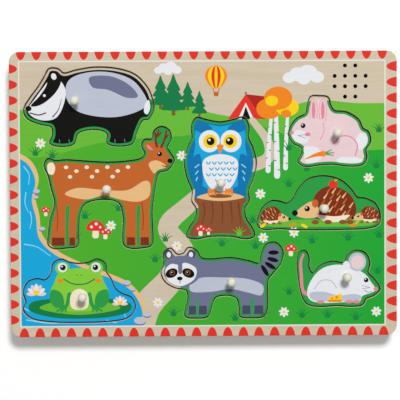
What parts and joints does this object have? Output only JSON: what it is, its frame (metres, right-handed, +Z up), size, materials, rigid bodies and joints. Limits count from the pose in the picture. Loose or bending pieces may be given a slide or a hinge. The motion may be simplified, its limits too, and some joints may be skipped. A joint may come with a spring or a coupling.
{
  "type": "sound puzzle",
  "caption": "Wooden peg puzzle board with lift-out animal pieces in cut-outs, light sensors under them, a small loudspeaker behind sound holes and a battery box in the back.",
  "frame": {"origin": "middle of the underside of the board, on the surface it lies on", "axes": "+Z up out of the printed face, +X to the right of the picture, +Y to the top of the picture"},
  "size_m": [0.3, 0.221, 0.032],
  "materials": {
    "printed_wood": "printed plywood, satin lacquer",
    "core_wood": "raw fibreboard",
    "back_wood": "hardboard, smooth side out",
    "ivory_plastic": "moulded, satin",
    "white_plastic": "moulded, fine texture",
    "black_plastic": "moulded",
    "board_green": "solder mask",
    "steel": "zinc plated",
    "sensor_resin": "clear cast resin",
    "wire_yellow": "insulated wire",
    "wire_red": "insulated wire",
    "cell_wrap": "plain wrapped cell",
    "cone_paper": "pressed paper",
    "gasket_foam": "closed-cell foam",
    "ferrite": "sintered magnet"
  },
  "bodies": {
    "board": {"face_board": "printed_wood", "core_board": "core_wood", "back_panel": "back_wood", "back_screws": "steel", "speaker_gasket": "gasket_foam", "speaker_frame": "steel", "speaker_cone": "cone_paper", "speaker_magnet": "ferrite", "battery_box": "white_plastic", "battery_cell_1": "cell_wrap", "battery_cell_2": "cell_wrap", "battery_contacts": "steel", "circuit_board": "board_green", "circuit_board_screws": "steel", "sound_chip": "black_plastic", "capacitor": "black_plastic", "power_switch": "steel", "sensor_wires": "wire_yellow", "battery_wires": "wire_red", "speaker_wires": "black_plastic", "badger_sensor": "sensor_resin", "deer_sensor": "sensor_resin", "owl_sensor": "sensor_resin", "rabbit_sensor": "sensor_resin", "hedgehog_sensor": "sensor_resin", "mouse_sensor": "sensor_resin", "raccoon_sensor": "sensor_resin", "frog_sensor": "sensor_resin"},
    "badger": {"badger_piece": "printed_wood", "badger_knob": "ivory_plastic"},
    "deer": {"deer_piece": "printed_wood", "deer_knob": "ivory_plastic"},
    "owl": {"owl_piece": "printed_wood", "owl_knob": "ivory_plastic"},
    "rabbit": {"rabbit_piece": "printed_wood", "rabbit_knob": "ivory_plastic"},
    "hedgehog": {"hedgehog_piece": "printed_wood", "hedgehog_knob": "ivory_plastic"},
    "mouse": {"mouse_piece": "printed_wood", "mouse_knob": "ivory_plastic"},
    "raccoon": {"raccoon_piece": "printed_wood", "raccoon_knob": "ivory_plastic"},
    "frog": {"frog_piece": "printed_wood", "frog_knob": "ivory_plastic"},
    "battery_door": {"battery_door": "white_plastic"},
    "door_screw_left": {"door_screw_left": "steel"},
    "door_screw_right": {"door_screw_right": "steel"},
    "power_slider": {"power_slider": "black_plastic"}
  },
  "joints": [
    {"name": "badger_lift", "type": "slide", "parent": "board", "child": "badger", "axis": [0, 0, 1], "range_m": [0, 0.045]},
    {"name": "deer_lift", "type": "slide", "parent": "board", "child": "deer", "axis": [0, 0, 1], "range_m": [0, 0.045]},
    {"name": "owl_lift", "type": "slide", "parent": "board", "child": "owl", "axis": [0, 0, 1], "range_m": [0, 0.045]},
    {"name": "rabbit_lift", "type": "slide", "parent": "board", "child": "rabbit", "axis": [0, 0, 1], "range_m": [0, 0.045]},
    {"name": "hedgehog_lift", "type": "slide", "parent": "board", "child": "hedgehog", "axis": [0, 0, 1], "range_m": [0, 0.045]},
    {"name": "mouse_lift", "type": "slide", "parent": "board", "child": "mouse", "axis": [0, 0, 1], "range_m": [0, 0.045]},
    {"name": "raccoon_lift", "type": "slide", "parent": "board", "child": "raccoon", "axis": [0, 0, 1], "range_m": [0, 0.045]},
    {"name": "frog_lift", "type": "slide", "parent": "board", "child": "frog", "axis": [0, 0, 1], "range_m": [0, 0.045]},
    {"name": "battery_door_lift_off", "type": "slide", "parent": "board", "child": "battery_door", "axis": [0, 0, -1], "range_m": [0, 0.03]},
    {"name": "door_screw_left_turn", "type": "hinge", "parent": "battery_door", "child": "door_screw_left", "pos_m": [-0.01825, 0.086, 0], "axis": [0, 0, 1], "continuous": true},
    {"name": "door_screw_right_turn", "type": "hinge", "parent": "battery_door", "child": "door_screw_right", "pos_m": [0.03825, 0.086, 0], "axis": [0, 0, 1], "continuous": true},
    {"name": "power_switch_slide", "type": "slide", "parent": "board", "child": "power_slider", "axis": [1, 0, 0], "range_m": [0, 0.002]}
  ]
}
